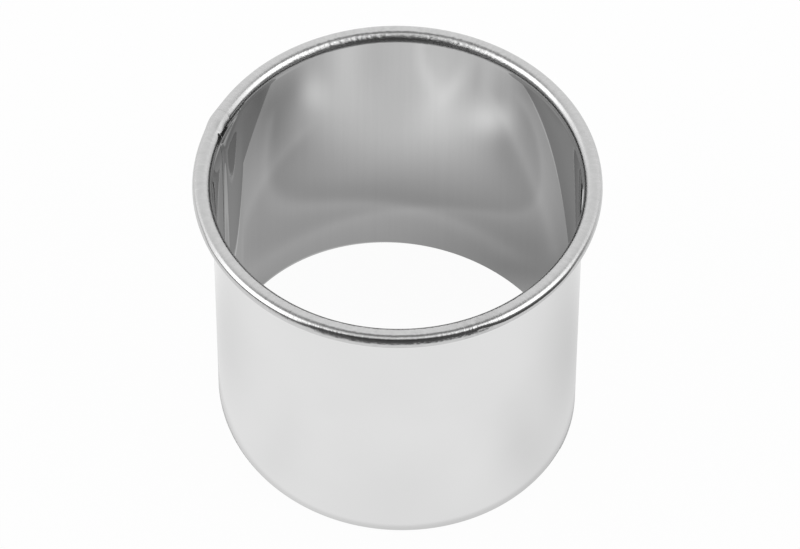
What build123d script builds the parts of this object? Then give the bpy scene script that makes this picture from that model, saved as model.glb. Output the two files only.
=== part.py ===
from build123d import *
import os
from math import cos, degrees, radians, sin

# Round biscuit cutter: an open ring of thin stainless sheet, lapped and spot-welded down one side,
# with its top edge rolled outwards over a ring of wire.
# Millimetres. +Z up, the origin at the centre of the cutting edge. Angles are about Z, from +X.

# Wall
cutting_diameter = 63.5     # outside of the wall, which is what it cuts
overall_height = 57.15      # cutting edge to the top of the bead, away from the seam
sheet = 0.3                 # thickness of the strip
bevel_width = 0.1           # what the outside bevel takes from the sheet at the cutting edge
bevel_height = 0.25

# Rolled bead and the wire inside it
wire_diameter = 2.5
roll_clearance = 0.05       # all round the wire, inside the roll
rim_step = 0.25             # the bead stands this far out from the inner face of the wall
neck_height = 1.2           # stretch under the roll where the wall bends outwards
roll_step = 22.5            # the roll turns by this much from each of its narrow flats to the next
roll_flat_count = 14        # so it stops short of the neck, which leaves a gap under the bead
wire_flat_count = 12
wire_gap = 0.6              # between the two cut ends of the wire
wire_gap_angle = 344.0

# Lap seam
free_edge_angle = 164.0     # end of the inner layer
lap_width = 5.5             # how far the two layers overlap
jog_width = 5.0             # stretch where the strip steps inwards, ahead of the lap
lap_clearance = 0.02        # between the two layers
jog_shares = (0.0, 0.26, 0.74, 1.0)   # how much of the inward step is made, at even angles along the jog
relief_width = 3.6          # slit under the roll that frees the corner of the inner layer
relief_height = 0.6
relief_drop = 0.1           # top of the slit, below the middle of the bead

# Spot welds through the lap
weld_count = 4
weld_diameter = 2.5
weld_depth = 0.15           # into each layer
weld_lowest = 7.0
weld_pitch = 13.5

overrun = 1.0               # how far a cutting body runs past what it cuts

# Worked out from the sizes above
wall_outer = cutting_diameter / 2
wall_inner = wall_outer - sheet
roll_inner = wire_diameter / 2 + roll_clearance
roll_outer = roll_inner + sheet
bead_radius = wall_inner + rim_step + roll_outer    # of the wire's centre line
bead_height = overall_height - roll_outer
lap_step = sheet + lap_clearance


def angle_of(width):
    # angle that a width along the wall takes up
    return degrees(width / wall_outer)


lap_angle = angle_of(lap_width)
jog_angle = angle_of(jog_width)
lap_start = free_edge_angle - lap_angle


def roll(radius):
    # Corners of the roll at one radius round the wire, from the neck over the top to the free end.
    corners = []
    for number in range(roll_flat_count + 1):
        angle = radians(180 - number * roll_step)
        corners.append((bead_radius + radius * cos(angle), bead_height + radius * sin(angle)))
    return corners


def sheet_section(inward):
    # Section through the strip, from the cutting edge up the wall, out at the neck and over the wire.
    # The inner layer of the lap lies further inward and so takes a larger roll round the same wire.
    inner, outer = wall_inner - inward, wall_outer - inward
    neck_low = bead_height - neck_height
    outline = [(inner, 0), (inner, neck_low)]
    outline += roll(roll_outer + inward)
    outline += reversed(roll(roll_inner + inward))
    outline += [(outer, neck_low), (outer, bevel_height), (outer - bevel_width, 0)]
    with BuildLine(Plane.XZ) as line:
        Polyline(*outline, close=True)
    return make_face(line.edges())


def turned(shape, angle):
    return Rotation(0, 0, angle) * shape


def ring_block(inner, outer, low, high, start, angle):
    # sector of a square ring, for cutting
    with BuildLine(Plane.XZ) as line:
        Polyline((inner, low), (outer, low), (outer, high), (inner, high), close=True)
    return turned(revolve(make_face(line.edges()), Axis.Z, angle), start)


def weld_nuggets():
    middle_angle = lap_start + lap_angle / 2
    deepest = wall_inner - lap_clearance - weld_depth
    length = lap_clearance + 2 * weld_depth
    nuggets = []
    for number in range(weld_count):
        height = weld_lowest + number * weld_pitch
        place = Plane(origin=(deepest, 0, height), z_dir=(1, 0, 0))
        disc = extrude(place * Circle(weld_diameter / 2), length)
        nuggets.append(turned(disc, middle_angle))
    return nuggets


def cutter_wall():
    # The strip runs once round from its outer end, steps inwards, and laps over that end on the inside.
    round_part = turned(revolve(sheet_section(0), Axis.Z, 360 - jog_angle), lap_start)
    steps = len(jog_shares) - 1
    stations = []
    for number, share in enumerate(jog_shares):
        angle = lap_start - jog_angle + jog_angle * number / steps
        stations.append(turned(sheet_section(share * lap_step), angle))
    jog = loft(stations, ruled=True)
    slit_top = bead_height - relief_drop
    slit = ring_block(
        wall_inner - lap_step - overrun, bead_radius,
        slit_top - relief_height, slit_top,
        lap_start, angle_of(relief_width),
    )
    lap = turned(revolve(sheet_section(lap_step), Axis.Z, lap_angle), lap_start) - slit
    wall = round_part + jog + lap
    for nugget in weld_nuggets():
        wall -= nugget
    return wall


def rim_wire():
    around = 360 - degrees(wire_gap / bead_radius)
    section = Plane.XZ * Pos(bead_radius, bead_height) * RegularPolygon(wire_diameter / 2, wire_flat_count)
    return turned(revolve(section, Axis.Z, around), wire_gap_angle)


os.makedirs("parts", exist_ok=True)
export_step(cutter_wall(), "parts/cutter_wall.step")
export_step(rim_wire(), "parts/rim_wire.step")
export_step(Compound(children=weld_nuggets()), "parts/spot_welds.step")
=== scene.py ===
import math

import bpy
from mathutils import Matrix, Vector


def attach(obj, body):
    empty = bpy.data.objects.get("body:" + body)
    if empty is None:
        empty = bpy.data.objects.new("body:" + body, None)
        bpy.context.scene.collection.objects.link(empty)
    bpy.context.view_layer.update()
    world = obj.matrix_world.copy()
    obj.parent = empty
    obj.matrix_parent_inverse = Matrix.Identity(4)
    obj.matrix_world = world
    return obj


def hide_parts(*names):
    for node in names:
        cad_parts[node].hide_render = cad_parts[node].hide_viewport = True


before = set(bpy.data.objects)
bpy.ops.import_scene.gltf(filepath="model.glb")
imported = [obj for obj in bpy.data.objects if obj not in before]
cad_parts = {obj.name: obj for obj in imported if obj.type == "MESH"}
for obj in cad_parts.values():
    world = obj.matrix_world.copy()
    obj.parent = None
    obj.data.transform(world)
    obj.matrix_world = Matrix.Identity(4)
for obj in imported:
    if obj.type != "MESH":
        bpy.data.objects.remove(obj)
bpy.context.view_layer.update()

mm = 0.001
turn = 2 * math.pi


def clamp(value, low=0.0, high=1.0):
    return max(low, min(high, value))


def smooth(low, high, value):
    share = clamp((value - low) / (high - low))
    return share * share * (3 - 2 * share)


def bell(value, centre, width):
    return math.exp(-((value - centre) / width) ** 2)


def between(value, start, end, startSoft, endSoft):
    # 1 from start to end, with soft edges
    begun = smooth(start - startSoft, start + startSoft, value)
    return begun * (1 - smooth(end - endSoft, end + endSoft, value))


def newObject(name, mesh):
    made = bpy.data.objects.new(name, mesh)
    bpy.context.scene.collection.objects.link(made)
    return made


def meshFrom(name, points, faces, materials=(), slots=None, sharpAngle=None):
    mesh = bpy.data.meshes.new(name)
    mesh.from_pydata(points, [], faces)
    for material in materials:
        mesh.materials.append(material)
    if slots:
        mesh.polygons.foreach_set("material_index", slots)
    if sharpAngle:
        mesh.polygons.foreach_set("use_smooth", [True] * len(faces))
        mesh.set_sharp_from_angle(angle=math.radians(sharpAngle))
    mesh.update()
    return mesh


class Nodes:
    # a short way to write node trees
    def __init__(self, tree):
        self.tree = tree
        tree.nodes.clear()

    def add(self, kind, **settings):
        node = self.tree.nodes.new(kind)
        for key, value in settings.items():
            setattr(node, key, value)
        return node

    def link(self, source, target):
        self.tree.links.new(source, target)

    def feed(self, node, **values):
        # a socket gets a value or another socket, by its name with spaces left out
        names = {socket.name.replace(" ", ""): socket for socket in reversed(node.inputs) if socket.enabled}
        for name, value in values.items():
            if isinstance(value, bpy.types.NodeSocket):
                self.link(value, names[name])
            else:
                names[name].default_value = value
        return node

    def math(self, operation, *values):
        node = self.add("ShaderNodeMath", operation=operation)
        for socket, value in zip(node.inputs, values):
            if isinstance(value, bpy.types.NodeSocket):
                self.link(value, socket)
            else:
                socket.default_value = value
        return node.outputs[0]

    def sum(self, *values):
        total = values[0]
        for value in values[1:]:
            total = self.math("ADD", total, value)
        return total

    def times(self, *values):
        total = values[0]
        for value in values[1:]:
            total = self.math("MULTIPLY", total, value)
        return total

    def blend(self, share, first, second):
        # first where share is 0, second where it is 1
        return self.sum(first, self.times(share, self.math("SUBTRACT", second, first)))

    def range(self, value, low, high, start=0.0, end=1.0, kind="SMOOTHSTEP"):
        node = self.add("ShaderNodeMapRange", interpolation_type=kind)
        self.feed(node, Value=value, FromMin=low, FromMax=high, ToMin=start, ToMax=end)
        return node.outputs[0]

    def bell(self, value, width):
        # 1 where value is 0, fading with its square
        share = self.math("DIVIDE", value, width)
        return self.math("EXPONENT", self.times(share, share, -1.0))

    def length(self, x, y):
        return self.math("SQRT", self.sum(self.times(x, x), self.times(y, y)))

    def place(self):
        # the object's own coordinates in mm
        parts = self.add("ShaderNodeSeparateXYZ")
        self.link(self.add("ShaderNodeTexCoord").outputs["Object"], parts.inputs[0])
        return [self.times(value, 1 / mm) for value in parts.outputs]

    def ringPlace(self, x, y, third):
        # where it lies round the ring, as a place on a circle of radius 1, and a third coordinate
        radius = self.length(x, y)
        around = self.add("ShaderNodeCombineXYZ")
        self.link(self.math("DIVIDE", x, radius), around.inputs[0])
        self.link(self.math("DIVIDE", y, radius), around.inputs[1])
        self.link(third, around.inputs[2])
        return around.outputs[0]

    def noise(self, place, **values):
        return self.feed(self.add("ShaderNodeTexNoise"), Vector=place, **values).outputs["Fac"]

    def grey(self, shade):
        tint = self.add("ShaderNodeCombineColor")
        for socket in tint.inputs:
            self.link(shade, socket)
        return tint.outputs[0]


def makeMaterial(name):
    material = bpy.data.materials.new(name)
    material.use_nodes = True
    return material, Nodes(material.node_tree)


# cloud and streaks are shares of the colour; edgeTint darkens what is mirrored at a grazing angle
steels = {
    # painted light and shade: outside and inside are one steel in two colours; the outer face's colour is
    # painted lighter for the brighter floor light outside the ring, and the inner face's darker for the
    # shade inside it
    "outside": {"colour": 0.765, "roughness": 0.12, "cloud": 0.012, "streaks": 0.0},
    "inside": {"colour": 0.577, "roughness": 0.035, "cloud": 0.01, "streaks": 0.016, "edgeTint": 0.9},
    # painted shadow: this near-black colour stands in for the shade in the slit between the lap's layers and
    # under the bead's inner side
    "gap": {"colour": 0.06, "roughness": 0.4, "cloud": 0.2, "streaks": 0.0},
    # painted shade: the ledge's dark colour stands in for the shade under the bead; its roughness is a dull
    # finish
    "ledge": {"colour": 0.3, "roughness": 0.5, "cloud": 0.05, "streaks": 0.0},
    "cut": {"colour": 0.8, "roughness": 0.55, "cloud": 0.05, "streaks": 0.0},
    "wire": {"colour": 0.5, "roughness": 0.35, "cloud": 0.05, "streaks": 0.0},
    "weld": {"colour": 0.42, "roughness": 0.45, "cloud": 0.1, "streaks": 0.0},
}
cloudNoise = {"scale": 60.0, "detail": 3.0, "from": 0.3, "to": 0.7}
streakNoise = {"scale": 34.0, "detail": 4.0, "roughness": 0.75, "rise": 0.0006, "from": 0.25, "to": 0.75}


def cloudyColour(nodes, colour, cloud, streaks):
    # an even grey with faint clouds, and streaks that run up the wall
    place = nodes.add("ShaderNodeTexCoord").outputs["Object"]
    clouds = nodes.noise(place, Scale=cloudNoise["scale"], Detail=cloudNoise["detail"])
    shade = nodes.range(clouds, cloudNoise["from"], cloudNoise["to"], colour * (1 - cloud),
                        colour * (1 + cloud), "LINEAR")
    if streaks:
        x, y, z = nodes.place()
        around = nodes.ringPlace(x, y, nodes.times(z, streakNoise["rise"]))
        lines = nodes.noise(around, Scale=streakNoise["scale"], Detail=streakNoise["detail"],
                            Roughness=streakNoise["roughness"])
        shade = nodes.times(shade, nodes.range(lines, streakNoise["from"], streakNoise["to"], 1 - streaks,
                                               1 + streaks, "LINEAR"))
    return nodes.grey(shade)


def steelMaterial(name, look):
    material, nodes = makeMaterial(name)
    out = nodes.add("ShaderNodeOutputMaterial")
    colour = cloudyColour(nodes, look["colour"], look["cloud"], look["streaks"])
    shader = nodes.feed(nodes.add("ShaderNodeBsdfPrincipled"), BaseColor=colour, Metallic=1.0,
                        Roughness=look["roughness"], SpecularTint=(look.get("edgeTint", 1.0),) * 3 + (1,))
    nodes.link(shader.outputs[0], out.inputs["Surface"])
    return material


beadLook = {
    "colour": 0.60,
    "roughness": 0.25,
    "anisotropy": 0.85,          # scratches run across the bead, so its shine spreads round the ring
    "radius": 33.3,              # mm, as the rest: the middle of the bead
    "grainSize": 0.35,           # round the ring
    "grainAcross": 0.012,        # how quickly it changes across the bead
    "grainHeight": 0.012,
    "grainDetail": 4.0,
    "grainRoughness": 0.65,
    "grainShade": 0.06,          # share of the colour,
    "grainRange": (0.3, 0.7),    # for the noise from here to here
    "deepGrain": 9.0,            # the grain is this much deeper at the back and front of the rim,
    "deepFrom": 20.0,            # with y from here
    "deepTo": 32.0,              # to here
    # a rubbed patch beside the dent
    "scuff": {"angle": 294, "radius": 33.0, "width": 3.5, "shade": 0.82,
              "noiseScale": 900.0, "noiseDetail": 3.0, "noiseRange": (0.35, 0.6)},
}


def beadMaterial():
    material, nodes = makeMaterial("rolledBeadSteel")
    out = nodes.add("ShaderNodeOutputMaterial")
    x, y, z = nodes.place()
    across = nodes.times(nodes.sum(z, nodes.length(x, y)), beadLook["grainAcross"])
    ticks = nodes.noise(nodes.ringPlace(x, y, across), Scale=beadLook["radius"] / beadLook["grainSize"] / 2,
                        Detail=beadLook["grainDetail"], Roughness=beadLook["grainRoughness"])
    deep = nodes.range(nodes.math("ABSOLUTE", y), beadLook["deepFrom"], beadLook["deepTo"])
    strength = nodes.blend(deep, 1.0, beadLook["deepGrain"])
    lift = nodes.feed(nodes.add("ShaderNodeBump"), Height=nodes.times(ticks, strength), Strength=1.0,
                      Distance=beadLook["grainHeight"] * mm)
    scuff = beadLook["scuff"]
    angle = math.radians(scuff["angle"])
    off = nodes.length(nodes.sum(x, -scuff["radius"] * math.cos(angle)),
                       nodes.sum(y, -scuff["radius"] * math.sin(angle)))
    place = nodes.add("ShaderNodeTexCoord").outputs["Object"]
    rub = nodes.noise(place, Scale=scuff["noiseScale"], Detail=scuff["noiseDetail"])
    patch = nodes.times(nodes.bell(off, scuff["width"]), nodes.range(rub, *scuff["noiseRange"]))
    colour = nodes.blend(patch, beadLook["colour"], beadLook["colour"] * scuff["shade"])
    shade = beadLook["grainShade"]
    colour = nodes.times(colour, nodes.range(ticks, *beadLook["grainRange"], 1 - shade, 1 + shade, "LINEAR"))
    shader = nodes.feed(nodes.add("ShaderNodeBsdfPrincipled"), BaseColor=nodes.grey(colour), Metallic=1.0,
                        Roughness=beadLook["roughness"], Anisotropic=beadLook["anisotropy"],
                        Normal=lift.outputs[0])
    tangent = nodes.add("ShaderNodeTangent", direction_type="RADIAL", axis="Z")
    nodes.link(tangent.outputs[0], shader.inputs["Tangent"])
    nodes.link(shader.outputs[0], out.inputs["Surface"])
    return material


# the wall's outer and inner faces are one steel, painted lighter outside and darker inside for the light and
# shade round the ring
outsideSteel = steelMaterial("outsideSteelPaintedLight", steels["outside"])
insideSteel = steelMaterial("insideSteelPaintedShade", steels["inside"])
cutSteel = steelMaterial("cutEdgeSteel", steels["cut"])
# painted shadow for the slit at the lap
slitShadowSteel = steelMaterial("paintedShadowGapSteel", steels["gap"])
ledgeSteel = steelMaterial("dullLedgeSteelPaintedShade", steels["ledge"])
wireSteel = steelMaterial("drawnWireSteel", steels["wire"])
weldSteel = steelMaterial("weldSteel", steels["weld"])
beadSteel = beadMaterial()
print("materials made")


# The ring is one strip. It runs once round from its outer end, steps inwards at the jog and laps over
# that end.
ring = {
    "wallOuter": 31.75,          # mm, as the rest
    "sheet": 0.3,
    "height": 57.15,
    "bevelWidth": 0.1,
    "bevelHeight": 0.25,
    "rollInner": 1.3,
    "rimStep": 0.25,             # the bead's inner side stands this far out from the wall
    "backOut": 0.25,             # at the back the wall stands out and is flush with the bead
    "backSines": (-0.5, 1.0),    # sine of the azimuth where this starts and where it is full
    "flareHeight": 1.0,          # elsewhere it bends outwards over this much of its height
    "shiftHeight": 3.0,          # over this much of the wall a stepped strip comes back to the bead
    "rollTurn": 315,             # degrees of roll over the wire
    "lapStart": 154.08,          # degrees from +X
    "lapTurn": 9.925,
    "lapStep": 0.32,             # from one layer of the lap to the other
    # over these azimuths the strip runs inwards
    "jog": {"from": 147.5, "to": 163.0, "depth": 0.58, "power": 0.85},
    # and over these its outer layer comes back out from under it
    "pressed": {"from": 164.0, "to": 182.0},
    "slitTop": -0.15,            # the slit under the bead at the lap, below the middle of the bead
    "slitHeight": 0.38,
    "shaved": 0.01,              # taken off the bead's outer side,
    "shavedAngles": (60, 20),    # between these angles round the wire it fades in
    # degrees on from the strip's outer end:
    "halfway": 180.0,            # past it the strip is on its way to the inner layer
    "ledgeFrom": 355.0,          # the ledge under the bead is dull, and painted dark for the shade under the bead, from here on
    "gapTurn": 7.0,              # the strip showing through the slit is painted dark for shade up to here
    # where the bead's inner side over the slit is painted dark for shade: start, end,
    # and the angle round the wire from which it is painted, at the start and at the end
    "openings": [(3.0, 7.4, 168, 150), (7.8, 12.2, 136, 178)],
    # azimuths over which the strip's inner end is thinned, and the height and azimuths for its top edge
    "filed": {"from": 160.2, "to": 164.0, "depth": 0.285, "topDepth": 0.27, "topHeight": 1.6,
              "topFrom": 149.0, "topTo": 154.0},
    "buttGap": 0.05,             # degrees between the two ends of the roll
    "wallRows": 32,
    "flareRows": 14,
    "rollRows": 64,
    "station": 0.5,              # degrees from one section to the next
    "seamStation": 0.15,         # the same near the lap,
    "seamEnd": 13.0,             # which is up to here
    "seamStart": 350.0,          # and from here
    "leastStation": 0.06,        # sections at the strip's ends stand no closer than this
    "sharpAngle": 35,
    # how far out of round the foot is, as shares of the radius: two and three waves round the ring
    "ovalShares": {(2, "sin"): -0.0230, (2, "cos"): -0.01166, (3, "sin"): -0.00057, (3, "cos"): 0.00509},
    "ovalPowers": {(2, "sin"): 1.0, (2, "cos"): 0.4057, (3, "sin"): 0.4057, (3, "cos"): 0.4057},
    "ovalSoftening": 0.03,
}
ring["wallInner"] = ring["wallOuter"] - ring["sheet"]
ring["rollOuter"] = ring["rollInner"] + ring["sheet"]
ring["beadRadius"] = ring["wallInner"] + ring["rimStep"] + ring["rollOuter"]
ring["beadHeight"] = ring["height"] - ring["rollOuter"]
ring["slitLow"] = ring["beadHeight"] - ring["slitTop"] - ring["slitHeight"]

# How the bead differs from a plain tube. Angles round the ring are degrees from +X,
# and angles round the wire are degrees up from the outer side, so 90 is the top and 180 the inner side.
beadShape = {
    "lean": 0.17,                            # mm that the top of the bead stands outwards
    "leanFrom": (10, 50), "leanTo": (130, 180),
    # it is thicker over the doubled sheet, from the under side to the top,
    "bump": {"angle": 157.4, "rise": 3.6, "fall": 3.1, "height": 0.22, "under": -60, "top": 0},
    # its inner side bulges at the lap,
    "innerBulge": {"start": 154.4, "end": 161.6, "soft": (0.5, 0.6), "depth": 0.12, "angles": (110, 165)},
    # and ahead of the lap that side is pressed flat
    "pinch": {"start": 146.2, "end": 154.2, "soft": (0.25, 0.3), "depth": 0.24, "inside": 0.1,
              "angles": (180, 160)},
    "dent": {"angle": 294.2, "width": 1.1, "side": 12, "spread": 26, "depth": 0.1},
    # its inner side is fuller in front, where the sine of the azimuth is under -0.2
    "frontSwell": {"from": 105, "to": 140, "height": 0.09, "sines": (0.2, 0.8)},
    # its upper outer side is burnished flat at two places: azimuths where this begins, is full, fades and
    # is gone, and the angle of the corner it starts from
    "shoulder": {"places": [(198, 208, 238, 250, 32.5), (295, 302, 322, 334, 36.5)],
                 "flat": 47, "end": 52, "rise": 9, "lean": 25},
    # uneven ripples left by the rolling: waves round the ring, depth, and at the back and in front the
    # angle round the wire where they are deepest, how far they reach, and their share
    "chatter": {"counts": (131, 211, 307), "depth": 0.05, "sines": (0.78, 0.98),
                "back": (118, 26, 1.0), "front": (48, 22, 0.4)},
}


def ovalShare(azimuth, height):
    # the wall is round at the bead and oval at the foot
    down = clamp((ring["beadHeight"] - height) / ring["beadHeight"])
    soft = ring["ovalSoftening"]
    angle = math.radians(azimuth)
    total = 1.0
    for (count, kind), share in ring["ovalShares"].items():
        power = ring["ovalPowers"][count, kind]
        depth = ((down + soft) ** power - soft ** power) / ((1 + soft) ** power - soft ** power)
        total += depth * share * (math.sin if kind == "sin" else math.cos)(count * angle)
    return total


def wallHeights():
    # heights of the rows of points, from the cutting edge up to the roll
    low, count = ring["beadHeight"] - ring["flareHeight"], ring["wallRows"]
    heights = [0, ring["bevelHeight"]]
    heights += [ring["bevelHeight"] + (low - ring["bevelHeight"]) * row / count
                for row in range(1, count + 1)]
    heights += [low + ring["flareHeight"] * row / ring["flareRows"] for row in range(1, ring["flareRows"])]
    return heights


def wallPair(azimuth, height, inward):
    # a point on the strip's inner face and one on its outer, each (radius, height)
    out = ring["backOut"] * smooth(*ring["backSines"], math.sin(math.radians(azimuth)))
    flare = smooth(ring["beadHeight"] - ring["flareHeight"], ring["beadHeight"], height)
    inner = ring["wallInner"] + out + (ring["rimStep"] - out) * flare - inward
    bevel = ring["bevelWidth"] * (1 - clamp(height / ring["bevelHeight"]))
    return [(inner, height), (inner + ring["sheet"] - bevel, height)]


def rollAngles():
    # angles round the wire, from the inner side over the top to the end of the roll
    return [180 - ring["rollTurn"] * row / ring["rollRows"] for row in range(ring["rollRows"] + 1)]


def shoulderShare(azimuth):
    # how far the bead is burnished here, and the corner that goes with it
    parts = [(smooth(begin, full, azimuth) * (1 - smooth(fade, gone, azimuth)), corner)
             for begin, full, fade, gone, corner in beadShape["shoulder"]["places"]]
    return max(parts)


def beadOffset(azimuth, angle):
    # how far the bead's skin stands off the plain roll, along the roll's own radius
    shape = beadShape
    around = math.radians(azimuth)
    chatter = shape["chatter"]
    ripple = sum(math.sin(count * around + number) for number, count in enumerate(chatter["counts"])) / 3
    off = 0.0
    for side, (centre, width, share) in ((1, chatter["back"]), (-1, chatter["front"])):
        near = smooth(*chatter["sines"], side * math.sin(around))
        off += chatter["depth"] * ripple * share * near * bell(angle, centre, width)
    bump, bulge, swell = shape["bump"], shape["innerBulge"], shape["frontSwell"]
    side = bump["rise"] if azimuth < bump["angle"] else bump["fall"]
    hump = bump["height"] * bell(azimuth, bump["angle"], side)
    innerSide = smooth(*bulge["angles"], angle)
    inBulge = between(azimuth, bulge["start"], bulge["end"], *bulge["soft"])
    top = smooth(bump["under"], bump["top"], angle)
    off += top * (hump * (1 - innerSide) + bulge["depth"] * inBulge * innerSide)
    inFront = smooth(*swell["sines"], -math.sin(around))
    off += swell["height"] * inFront * smooth(swell["from"], swell["to"], angle)
    shoulder = shape["shoulder"]
    share, corner = shoulderShare(azimuth)
    if corner - shoulder["rise"] < angle < shoulder["end"]:
        reach = ring["rollOuter"] * math.cos(math.radians(shoulder["end"] - shoulder["flat"]))
        high = reach / math.cos(math.radians(max(angle, corner) - shoulder["flat"])) - ring["rollOuter"]
        off += share * high * smooth(corner - shoulder["rise"], corner, angle)
    dent = shape["dent"]
    dented = bell(azimuth, dent["angle"], dent["width"])
    off -= dent["depth"] * dented * bell(angle, dent["side"], dent["spread"])
    return off


def rollPair(azimuth, angle):
    shape = beadShape
    radians = math.radians(angle)
    sooner = shape["shoulder"]["lean"] * shoulderShare(azimuth)[0]
    lean = shape["lean"] * smooth(*shape["leanFrom"], angle + sooner) * (1 - smooth(*shape["leanTo"], angle))
    off = beadOffset(azimuth, angle)
    # a hollow only thins the sheet, so that it stays clear of the wire
    pair = [[size * math.cos(radians) + lean, size * math.sin(radians)]
            for size in (ring["rollOuter"] + off, ring["rollInner"] + max(off, 0.0))]
    pinch = shape["pinch"]
    share = between(azimuth, pinch["start"], pinch["end"], *pinch["soft"])
    if share and angle > 90:
        limits = (pinch["depth"] - ring["rollOuter"], pinch["inside"] - ring["rollInner"])
        for point, limit in zip(pair, limits):
            if point[0] < limit:
                point[0] += (limit - point[0]) * share * smooth(*pinch["angles"], angle)
    pair[0][0] -= ring["shaved"] * smooth(*ring["shavedAngles"], abs(angle))
    return [(ring["beadRadius"] + along, ring["beadHeight"] + height) for along, height in pair]


def stations():
    # degrees on from the strip's outer end, closer together at the lap
    total = 360 + ring["lapTurn"]
    least = ring["leastStation"]
    turned, places = 0.0, []
    while turned < total:
        if abs(turned - 360) > least and total - turned > least:
            places.append(turned)
        near = turned < ring["seamEnd"] or turned > ring["seamStart"]
        turned = turned + (ring["seamStation"] if near else ring["station"])
    return sorted(places + [360.0, total])


def jogDepth(azimuth):
    jog = ring["jog"]
    along = clamp((azimuth - jog["from"]) / (jog["to"] - jog["from"]))
    return jog["depth"] * smooth(0, 1, along ** jog["power"])


def inwardShift(turned, height):
    # how far the strip stands in from the plain ring; it comes back to the bead near the top
    back = 1 - smooth(ring["beadHeight"] - ring["shiftHeight"], ring["beadHeight"], height)
    if turned < ring["halfway"]:
        azimuth = ring["lapStart"] + turned
        gone = smooth(ring["pressed"]["from"], ring["pressed"]["to"], azimuth)
        return (jogDepth(azimuth) - ring["lapStep"]) * (1 - gone) * back
    azimuth = ring["lapStart"] + turned - 360
    layer = ring["lapStep"] * smooth(ring["jog"]["from"], ring["lapStart"], azimuth)
    return (jogDepth(azimuth) - layer) * back + layer


def thinning(azimuth, height):
    # how much thinner the inner layer is near its end and its top edge
    filed = ring["filed"]
    atEnd = filed["depth"] * smooth(filed["from"], filed["to"], azimuth)
    atTop = smooth(ring["slitLow"] - filed["topHeight"], ring["slitLow"], height)
    return max(atEnd, atTop * (filed["topDepth"] * smooth(filed["topFrom"], filed["topTo"], azimuth)))


def buildRing():
    heights = wallHeights()
    angles = rollAngles()
    places = stations()
    beadRow = len(heights)
    rows = beadRow + len(angles)
    slitRow = next(number for number, height in enumerate(heights) if height > ring["slitLow"])
    points = []
    for turned in places:
        azimuth = (ring["lapStart"] + turned) % 360
        for row in range(rows):
            if row < beadRow:
                # above the slit the strip goes over to the bead, which doesn't step inwards
                inward = inwardShift(turned, heights[row]) if row <= slitRow else 0.0
                pair = wallPair(azimuth, heights[row], inward)
                if turned > ring["halfway"] and row <= slitRow:
                    pair[0] = (pair[0][0] + thinning(azimuth, heights[row]), heights[row])
            else:
                pair = rollPair(azimuth, angles[row - beadRow])
            # the two ends of the roll stop just short of each other
            swing = turned - ring["buttGap"] if turned == 360 and row > slitRow else turned
            place = math.radians(ring["lapStart"] + swing)
            for radius, height in pair:
                wide = radius * ovalShare(azimuth, height)
                points.append((wide * math.cos(place) * mm, wide * math.sin(place) * mm, height * mm))

    def corner(number, row, face):
        return (number * rows + row) * 2 + face

    def present(number, row):
        if number < 0 or row < 0 or number >= len(places) - 1 or row >= rows - 1:
            return False
        return places[number + 1] <= 360 or row < slitRow

    skins = (outsideSteel, insideSteel, beadSteel, cutSteel, slitShadowSteel, ledgeSteel)
    outside, inside, bead, cut, dark, dullPaintedShade = range(len(skins))
    faces, slots = [], []
    for number in range(len(places) - 1):
        for row in range(rows - 1):
            if not present(number, row):
                continue
            quad = [(number, row), (number, row + 1), (number + 1, row + 1), (number + 1, row)]
            faces.append([corner(*at, 0) for at in quad])
            # painted shadow: the strip is painted dark where it shows through the slit, and so is the bead's
            # inner side over it
            shadowPainted = places[number + 1] < ring["gapTurn"] and slitRow <= row < beadRow
            # the ledge under the bead is dull and painted dark for the shade under it
            ledge = row in (slitRow - 1, slitRow) and places[number] > ring["ledgeFrom"]
            onBead = row >= beadRow - 1
            for begin, stop, first, last in ring["openings"]:
                if row >= beadRow and begin < places[number] < stop:
                    along = (places[number] - begin) / (stop - begin)
                    shadowPainted = angles[row - beadRow] > first + (last - first) * along
            slots.append(dark if shadowPainted else dullPaintedShade if ledge else bead if onBead else inside)
            faces.append([corner(*at, 1) for at in reversed(quad)])
            slots.append(bead if onBead else outside)
            # the sheet's edges, where it has no neighbour; the upper edge of the inner layer is dull and
            # painted dark for shade too
            beyond = ((number - 1, row), (number, row + 1), (number + 1, row), (number, row - 1))
            for side, (there, what) in enumerate(beyond):
                if present(there, what):
                    continue
                start, end = quad[side], quad[(side + 1) % 4]
                faces.append([corner(*end, 0), corner(*start, 0), corner(*start, 1), corner(*end, 1)])
                slots.append(dullPaintedShade if side == 1 and row < beadRow else cut)
    used = sorted({index for face in faces for index in face})
    renumbered = {index: number for number, index in enumerate(used)}
    points = [points[index] for index in used]
    faces = [[renumbered[index] for index in face] for face in faces]
    mesh = meshFrom("rolledRing", points, faces, skins, slots, ring["sharpAngle"])
    mesh.validate()
    return newObject("rolledRing", mesh)


rolledRing = buildRing()
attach(rolledRing, "root")
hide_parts("cutter_wall")
print("ring made,", len(rolledRing.data.polygons), "faces")

# shift is how far out it lies from the middle of the bead
wire = {"radius": 1.2, "shift": 0.05, "gap": 0.6, "gapAngle": 344.0, "sides": 24, "stations": 240,
        "sharpAngle": 40}


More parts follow.
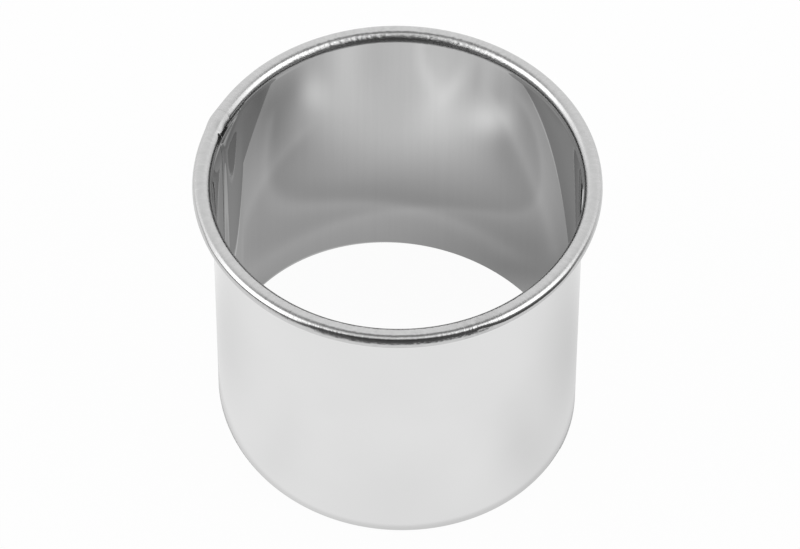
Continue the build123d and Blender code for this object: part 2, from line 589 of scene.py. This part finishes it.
def buildWire():
    total = 360 - math.degrees(wire["gap"] / ring["beadRadius"])
    middle = ring["beadRadius"] + wire["shift"]
    points, faces = [], []
    for number in range(wire["stations"] + 1):
        angle = math.radians(wire["gapAngle"] + total * number / wire["stations"])
        for side in range(wire["sides"]):
            lean = turn * side / wire["sides"]
            radius = middle + wire["radius"] * math.cos(lean)
            points.append((radius * math.cos(angle) * mm, radius * math.sin(angle) * mm,
                           (ring["beadHeight"] + wire["radius"] * math.sin(lean)) * mm))
    sides = wire["sides"]
    for number in range(wire["stations"]):
        for side in range(sides):
            after = (side + 1) % sides
            faces.append((number * sides + side, (number + 1) * sides + side,
                          (number + 1) * sides + after, number * sides + after))
    faces.append(tuple(range(sides)))
    faces.append(tuple(reversed(range(wire["stations"] * sides, (wire["stations"] + 1) * sides))))
    return newObject("rimWire", meshFrom("rimWire", points, faces, (wireSteel,), None, wire["sharpAngle"]))


rimWire = buildWire()
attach(rimWire, "root")
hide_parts("rim_wire")

weld = {"count": 4, "radius": 1.25, "depth": 0.1, "lowest": 7.0, "pitch": 13.5, "sides": 32}


def buildWelds():
    azimuth = ring["lapStart"] + ring["lapTurn"] / 2
    angle = math.radians(azimuth)
    points, faces = [], []
    sides = weld["sides"]
    for number in range(weld["count"]):
        height = weld["lowest"] + number * weld["pitch"]
        base = len(points)
        # each lies midway between the two layers
        outerLayer = wallPair(azimuth, height, jogDepth(azimuth) - ring["lapStep"])[0][0]
        seam = (outerLayer - (ring["lapStep"] - ring["sheet"]) / 2) * ovalShare(azimuth, height)
        for face in (-1, 1):
            for side in range(sides):
                lean = turn * side / sides
                depth = seam + face * weld["depth"]
                along = weld["radius"] * math.cos(lean)
                points.append(((depth * math.cos(angle) - along * math.sin(angle)) * mm,
                               (depth * math.sin(angle) + along * math.cos(angle)) * mm,
                               (height + weld["radius"] * math.sin(lean)) * mm))
        for side in range(sides):
            after = (side + 1) % sides
            faces.append((base + side, base + after, base + sides + after, base + sides + side))
        faces.append(tuple(base + side for side in reversed(range(sides))))
        faces.append(tuple(base + sides + side for side in range(sides)))
    return newObject("weldNuggets", meshFrom("weldNuggets", points, faces, (weldSteel,)))


weldNuggets = buildWelds()
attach(weldNuggets, "root")
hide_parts("spot_welds")
print("wire and welds made")


floorLook = {
    "size": 3.0,                 # metres
    "albedo": 0.9,
    "cameraShare": 0.96,         # the rest keeps the object's shadow
    "glossyShare": 0.97,         # how much of the mirrored floor is the light below, the rest is plain paper
    "insideShift": 0.4,          # mm towards the back that the light inside the ring is moved
    "footSoft": 0.1,             # mm each side of the wall over which inside goes over to outside
}

# Light on the floor as the steel mirrors it, in mm from the ring's axis. The soft boxes shine down into the
# ring, and its inside throws two crossing bright curves and a few soft patches on the floor. Outside lie
# its shadows.
floorLight = {
    "ground": {"dark": 0.525, "lit": 0.328, "edge": (-27.5, 78.6), "from": 56.7, "to": 78.1,
               "slopeX": 0.0020, "slopeY": -0.0014},
    "curves": [
        # the fade is inwards and outwards, the crest a light and a width, the span from x to x
        {"centre": (-7.76, 8.79), "radius": 17.58, "fade": (1.42, 7.00), "light": 0.079,
         "crest": (0.017, 1.10), "span": (-23.6, 17.8)},
        {"centre": (3.99, -0.95), "radius": 25.19, "fade": (1.33, 5.44), "light": 0.054,
         "crest": (0.035, 1.41), "span": (-18.8, 15.2)},
    ],
    "curveEnds": 3,              # softness of a curve's ends
    "curveFoot": 8,              # over this much of y it rises from its centre
    "patches": [
        # place, half length and width, turn in radians, light
        ((-14.6, 12.6), (12.8, 2.6), 0.55, -0.108),
        ((-15.4, 10.1), (5.7, 4.1), -0.91, 0.388),
        ((-13.7, -1.8), (5.1, 2.1), 0.45, 0.148),
        ((-7.3, -8.4), (6.4, 2.0), -1.31, 0.132),
        ((-8.3, 0.9), (9.2, 3.8), 1.16, 0.186),
        ((15.5, 7.5), (4.5, 4.6), -2.15, 0.423),
        ((12.1, -0.6), (6.6, 8.4), 0.22, 0.459),
        ((-19.8, 0.8), (5.0, 1.9), 0.65, -0.089),
        ((14.9, 20.4), (14.0, 9.7), 0.39, -0.419),
        ((15.0, 3.7), (14.0, 7.0), 1.03, -0.495),
    ],
    "frontFall": {"from": -16.0, "to": -30.0, "share": 0.35},
    "outside": 0.98,
    "shadows": [((-37.0, 8.0), (22.0, 19.0), 0.15, -0.17), ((39.0, 6.0), (24.0, 24.0), -0.3, -0.27),
                ((2.0, -36.0), (14.0, 12.0), 0.0, -0.05), ((31.0, -24.0), (12.0, 9.0), -0.7, -0.1),
                ((-29.0, -26.0), (10.0, 8.0), 0.7, -0.05)],
    "contact": {"width": 1.6, "share": 0.22},
    # the lit part of the table ends in front, farther out on the left; bearings are sines of the azimuth
    # for the front and cosines for the left
    "end": {"from": 96.0, "to": 118.0, "light": 0.08, "front": (-0.15, 0.4), "left": 2.2,
            "leftBearing": (-0.6, -0.92)},
}


def patchLight(nodes, x, y, patches):
    total = 0.0
    for (placeX, placeY), (long, wide), lean, light in patches:
        offX, offY = nodes.sum(x, -placeX), nodes.sum(y, -placeY)
        c, s = math.cos(lean), math.sin(lean)
        along = nodes.sum(nodes.times(offX, c / long), nodes.times(offY, s / long))
        across = nodes.sum(nodes.times(offX, -s / wide), nodes.times(offY, c / wide))
        total = nodes.sum(total, nodes.times(nodes.bell(nodes.length(along, across), 1.0), light))
    return total


def insideLight(nodes, x, y):
    ground = floorLight["ground"]
    edgeX, edgeY = ground["edge"]
    off = nodes.length(nodes.sum(x, -edgeX), nodes.sum(y, -edgeY))
    lit = nodes.range(off, ground["from"], ground["to"], ground["dark"], ground["dark"] + ground["lit"])
    light = nodes.sum(lit, nodes.times(x, ground["slopeX"]), nodes.times(y, ground["slopeY"]))
    soft, foot = floorLight["curveEnds"], floorLight["curveFoot"]
    for curve in floorLight["curves"]:
        centreX, centreY = curve["centre"]
        off = nodes.sum(nodes.length(nodes.sum(x, -centreX), nodes.sum(y, -centreY)), -curve["radius"])
        inwards, outwards = curve["fade"]
        fade = nodes.blend(nodes.math("GREATER_THAN", off, 0.0), inwards, outwards)
        low, high = curve["span"]
        shown = nodes.times(nodes.range(x, low - soft, low + soft),
                            nodes.range(x, high - soft, high + soft, 1.0, 0.0),
                            nodes.range(y, centreY, centreY + foot))
        crest, width = curve["crest"]
        shine = nodes.sum(nodes.times(nodes.bell(off, fade), curve["light"]),
                          nodes.times(nodes.bell(off, width), crest))
        light = nodes.sum(light, nodes.times(shine, shown))
    light = nodes.sum(light, patchLight(nodes, x, y, floorLight["patches"]))
    fall = floorLight["frontFall"]
    return nodes.times(light, nodes.range(y, fall["to"], fall["from"], 1 - fall["share"], 1.0))


def outsideLight(nodes, x, y, radius, gap):
    light = nodes.sum(floorLight["outside"], patchLight(nodes, x, y, floorLight["shadows"]))
    contact, end = floorLight["contact"], floorLight["end"]
    light = nodes.times(light, nodes.range(gap, 0.0, contact["width"], 1 - contact["share"], 1.0))
    front = nodes.range(nodes.math("DIVIDE", y, radius), *end["front"], 1.0, 0.0)
    reach = nodes.range(nodes.math("DIVIDE", x, radius), *end["leftBearing"], 1.0, end["left"])
    beyond = nodes.times(nodes.range(nodes.math("DIVIDE", radius, reach), end["from"], end["to"]), front)
    return nodes.blend(beyond, light, end["light"])


def buildFloor():
    half = floorLook["size"] / 2
    points = [(-half, -half, 0), (half, -half, 0), (half, half, 0), (-half, half, 0)]
    material, nodes = makeMaterial("paleFloor")
    out = nodes.add("ShaderNodeOutputMaterial")
    x, y = nodes.place()[:2]
    radius = nodes.length(x, y)
    # the foot of the wall is oval
    square = nodes.times(radius, radius)
    halfSine = nodes.math("DIVIDE", nodes.times(x, y), square)
    cosine = nodes.math("DIVIDE", nodes.sum(nodes.times(x, x), nodes.times(y, y, -1.0)), square)
    wave = nodes.sum(nodes.times(halfSine, 2 * ring["ovalShares"][2, "sin"]),
                     nodes.times(cosine, ring["ovalShares"][2, "cos"]))
    foot = nodes.times(nodes.sum(wave, 1.0), ring["wallInner"] + ring["sheet"] / 2)
    gap = nodes.sum(radius, nodes.times(foot, -1.0))
    light = nodes.blend(nodes.range(gap, -floorLook["footSoft"], floorLook["footSoft"]),
                        insideLight(nodes, x, nodes.sum(y, -floorLook["insideShift"])),
                        outsideLight(nodes, x, y, radius, gap))
    path = nodes.add("ShaderNodeLightPath")
    mirrored = nodes.math("MAXIMUM", path.outputs["Is Glossy Ray"], path.outputs["Is Transmission Ray"])
    strength = nodes.blend(mirrored, 1.0, light)
    paper = nodes.feed(nodes.add("ShaderNodeBsdfDiffuse"), Color=(floorLook["albedo"],) * 3 + (1,))
    glow = nodes.feed(nodes.add("ShaderNodeEmission"), Color=(1, 1, 1, 1), Strength=strength)
    share = nodes.sum(nodes.times(path.outputs["Is Camera Ray"], floorLook["cameraShare"]),
                      nodes.times(mirrored, floorLook["glossyShare"]))
    mix = nodes.add("ShaderNodeMixShader")
    nodes.link(share, mix.inputs[0])
    nodes.link(paper.outputs[0], mix.inputs[1])
    nodes.link(glow.outputs[0], mix.inputs[2])
    nodes.link(mix.outputs[0], out.inputs["Surface"])
    return newObject("paleFloor", meshFrom("paleFloor", points, [(0, 1, 2, 3)], (material,)))


floor = buildFloor()

# A pale room behind, two soft boxes in front, a dark gap overhead and a dark zone low round the camera.
# Degrees: azimuth from +X with the camera at -90, elevation from the floor. Light 1 is white paper.
studio = {
    "back": 0.98,
    "front": 0.78,
    "sideSoft": 0.12,            # how softly front goes over to back
    # measured over the top from the camera, and seen above an elevation
    "overhead": {"from": 72, "to": 100, "soft": 4, "light": 0.22, "above": 50, "aboveSoft": 8},
    # its top has a crown and falls away to both sides, more so past the bend; its light is for from and to
    "dark": {"camera": -90, "top": 48, "fall": 0.35, "bend": 80, "more": 0.3, "soft": 5,
             "crown": 8, "crownWidth": 16, "light": (0.06, 0.27), "from": 20, "to": 60},
    "lamps": {
        # azimuth, elevation, half width, half height, soft edge, light
        "left": (-159, 24, 25, 24, 4, 2.6),
        "leftTail": (-196, 20, 17, 8, 6, 1.2),
        "right": (-24, 30, 21, 25, 4, 2.6),
    },
}


def buildWorld():
    world = bpy.data.worlds.new("studioWorld")
    bpy.context.scene.world = world
    world.use_nodes = True
    nodes = Nodes(world.node_tree)
    out = nodes.add("ShaderNodeOutputWorld")
    parts = nodes.add("ShaderNodeSeparateXYZ")
    nodes.link(nodes.add("ShaderNodeTexCoord").outputs["Generated"], parts.inputs[0])
    x, y, z = parts.outputs
    degree = 180 / math.pi
    elevation = nodes.times(nodes.math("ARCSINE", z), degree)

    def bearing(centre):
        # azimuth, measured from centre
        angle = math.radians(centre)
        ahead = nodes.sum(nodes.times(x, math.cos(angle)), nodes.times(y, math.sin(angle)))
        aside = nodes.sum(nodes.times(x, -math.sin(angle)), nodes.times(y, math.cos(angle)))
        return nodes.times(nodes.math("ARCTAN2", aside, ahead), degree)

    def window(value, centre, half, soft):
        off = nodes.math("ABSOLUTE", nodes.sum(value, -centre))
        return nodes.range(off, nodes.sum(half, -soft), nodes.sum(half, soft), 1.0, 0.0)

    side = studio["sideSoft"]
    sky = nodes.blend(nodes.range(y, -side, side), studio["front"], studio["back"])
    gap = studio["overhead"]
    over = nodes.times(nodes.math("ARCTAN2", z, nodes.times(y, -1.0)), degree)
    middle, half = (gap["from"] + gap["to"]) / 2, (gap["to"] - gap["from"]) / 2
    high = nodes.range(elevation, gap["above"] - gap["aboveSoft"], gap["above"] + gap["aboveSoft"])
    sky = nodes.blend(nodes.times(window(over, middle, half, gap["soft"]), high), sky, gap["light"])
    for azimuth, height, wide, tall, soft, light in studio["lamps"].values():
        lamp = nodes.times(window(bearing(azimuth), 0, wide, soft), window(elevation, height, tall, soft))
        sky = nodes.blend(lamp, sky, light)
    dark = studio["dark"]
    off = nodes.math("ABSOLUTE", bearing(dark["camera"]))
    top = nodes.sum(nodes.times(off, -dark["fall"]), dark["top"],
                    nodes.times(nodes.math("MAXIMUM", nodes.sum(off, -dark["bend"]), 0.0), -dark["more"]),
                    nodes.times(nodes.bell(off, dark["crownWidth"]), dark["crown"]))
    under = nodes.range(nodes.sum(elevation, nodes.times(top, -1.0)), -dark["soft"], dark["soft"], 1.0, 0.0)
    sky = nodes.blend(under, sky, nodes.range(off, dark["from"], dark["to"], *dark["light"]))
    seen = nodes.blend(nodes.add("ShaderNodeLightPath").outputs["Is Camera Ray"], sky, 1.0)
    backdrop = nodes.feed(nodes.add("ShaderNodeBackground"), Strength=seen, Color=(1, 1, 1, 1))
    nodes.link(backdrop.outputs[0], out.inputs["Surface"])


buildWorld()
print("floor and lights made")


# camera at the photograph's viewing angle, for a picture of 800 by 549 pixels
view = {
    "lens": 298.79,              # mm
    "sensor": 36,                # mm wide
    "distance": 1128.8,          # mm, from the middle of the bead
    "clip": (0.01, 50),          # metres
    "elevation": 0.88252,        # radians
    "aim": (0.000498, -0.013596),    # small turns to the right and up
    "roll": 0.009222,
}


def buildCamera():
    data = bpy.data.cameras.new("photoCamera")
    data.lens, data.sensor_width, data.sensor_fit = view["lens"], view["sensor"], "HORIZONTAL"
    data.clip_start, data.clip_end = view["clip"]
    back = Vector((0, -math.cos(view["elevation"]), math.sin(view["elevation"])))
    right = Vector((1, 0, 0))
    up = right.cross(-back)
    ahead = (-back + view["aim"][0] * right + view["aim"][1] * up).normalized()
    right = ahead.cross(Vector((0, 0, 1))).normalized()
    up = right.cross(ahead)
    c, s = math.cos(view["roll"]), math.sin(view["roll"])
    right, up = c * right + s * up, -s * right + c * up
    camera = bpy.data.objects.new("photoCamera", data)
    bpy.context.scene.collection.objects.link(camera)
    place = Vector((0, 0, ring["beadHeight"] * mm)) + back * view["distance"] * mm
    camera.matrix_world = Matrix.Translation(place) @ Matrix((right, up, -ahead)).transposed().to_4x4()
    bpy.context.scene.camera = camera


buildCamera()
bpy.context.scene.view_settings.view_transform = "Standard"
